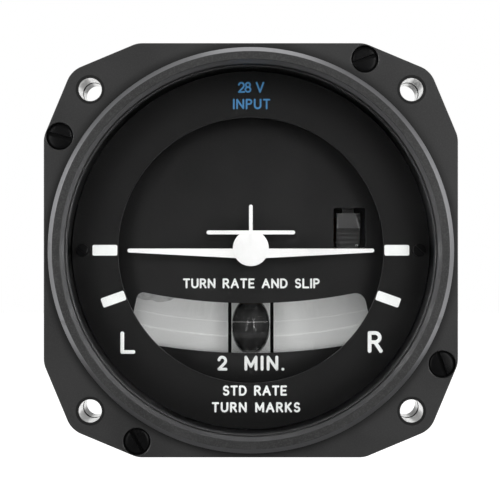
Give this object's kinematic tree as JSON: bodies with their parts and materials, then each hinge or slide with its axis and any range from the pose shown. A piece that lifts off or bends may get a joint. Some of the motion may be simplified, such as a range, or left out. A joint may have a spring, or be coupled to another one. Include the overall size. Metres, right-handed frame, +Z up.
{
  "type": "aircraft turn coordinator",
  "caption": "Panel-mounted turn coordinator: square-flanged round case, miniature aircraft driven by a canted gyro, and a curved slip tube with a rolling ball.",
  "frame": {"origin": "centre of the four panel holes, on the flange's front face", "axes": "-Y out of the dial towards the viewer, +X to the dial's right, +Z up, +Y back along the case"},
  "size_m": [0.081, 0.1391, 0.081],
  "materials": {
    "black_casting": "satin black paint on a casting",
    "case_black": "satin black paint",
    "black_screw": "black oxide steel",
    "steel_screw": "plated steel",
    "clear_glass": "clear",
    "seal_rubber": "matt",
    "black_ring": "black anodised",
    "dial_black": "matt black paint",
    "turned_metal": "turned",
    "trough_white": "matt pale paint",
    "spring_steel": "bright",
    "marker_black": "blackened wire",
    "ball_black": "polished black",
    "aircraft_white": "matt white paint",
    "steel": "ground",
    "brass": "machined",
    "plate_metal": "machined",
    "magnet_grey": "ground",
    "copper_wire": "enamelled",
    "flag_grey": "satin",
    "board_green": "solder mask",
    "parts_black": "moulded",
    "shell_metal": "plated",
    "insert_black": "moulded",
    "pin_metal": "plated contacts",
    "lead_cover": "insulated wire"
  },
  "bodies": {
    "root": {"bezel": "black_casting", "bezel_screws": "black_screw", "cover_glass": "clear_glass", "glass_gasket": "seal_rubber", "glass_retainer": "black_ring", "dial_mask": "dial_black", "mask_screws": "black_screw", "mask_pillars": "turned_metal", "dial_plate": "dial_black", "dial_screws": "black_screw", "dial_posts": "turned_metal", "inclinometer_tube": "clear_glass", "tube_plugs": "seal_rubber", "tube_trough": "trough_white", "tube_clips": "spring_steel", "marker_wires": "marker_black", "pointer_bush": "brass", "front_plate": "plate_metal", "rear_plate": "plate_metal", "frame_posts": "turned_metal", "frame_screws": "steel_screw", "gimbal_bearings": "steel", "gimbal_stops": "steel", "centring_spring": "spring_steel", "spring_pin": "steel", "damper_cup": "turned_metal", "damper_lid": "turned_metal", "flag_bracket": "spring_steel", "flag_coil": "copper_wire", "circuit_board": "board_green", "board_posts": "turned_metal", "board_screws": "steel_screw", "board_parts": "parts_black", "case": "case_black", "case_seal": "seal_rubber", "rear_cover": "case_black", "rear_cover_screws": "steel_screw", "receptacle_shell": "shell_metal", "receptacle_insert": "insert_black", "receptacle_pins": "pin_metal", "receptacle_screws": "steel_screw", "power_leads": "lead_cover"},
    "gimbal": {"gimbal_frame": "plate_metal", "gimbal_pivots": "steel", "drive_sector": "brass", "motor_stator": "steel", "stator_windings": "copper_wire", "rotor_bearings": "steel", "bearing_caps": "turned_metal", "spring_collet": "brass", "damper_vane": "turned_metal"},
    "rotor": {"rotor_wheel": "brass", "rotor_shaft": "steel", "motor_magnet": "magnet_grey"},
    "pointer": {"miniature_aircraft": "aircraft_white", "pointer_shaft": "steel", "drive_pinion": "brass"},
    "ball": {"slip_ball": "ball_black"},
    "flag": {"power_flag": "flag_grey", "flag_axle": "steel"}
  },
  "joints": [
    {"name": "gimbal_tilt", "type": "hinge", "parent": "root", "child": "gimbal", "pos_m": [0, 0.06084, 0], "axis": [0, -0.866, 0.5], "range_deg": [-12, 12], "stiffness_Nm_per_rad": 0.05},
    {"name": "rotor_spin", "type": "hinge", "parent": "gimbal", "child": "rotor", "pos_m": [0, 0.06257, -0.001], "axis": [1, 0, 0], "continuous": true},
    {"name": "pointer_roll", "type": "hinge", "parent": "root", "child": "pointer", "pos_m": [0, 0.033, 0], "axis": [0, -1, 0], "range_deg": [-36, 36]},
    {"name": "ball_roll", "type": "hinge", "parent": "root", "child": "ball", "pos_m": [0, 0.0197, 0.0992], "axis": [0, 1, 0], "range_deg": [-9.8, 9.8]},
    {"name": "flag_swing", "type": "hinge", "parent": "root", "child": "flag", "pos_m": [0.02025, 0.0172, 0.0114], "axis": [1, 0, 0], "range_deg": [0, 28], "stiffness_Nm_per_rad": 0.003, "springref_deg": -5.73}
  ],
  "couplings": [
    {"joint": "pointer_roll", "follows": "gimbal_tilt", "ratio": -3}
  ]
}
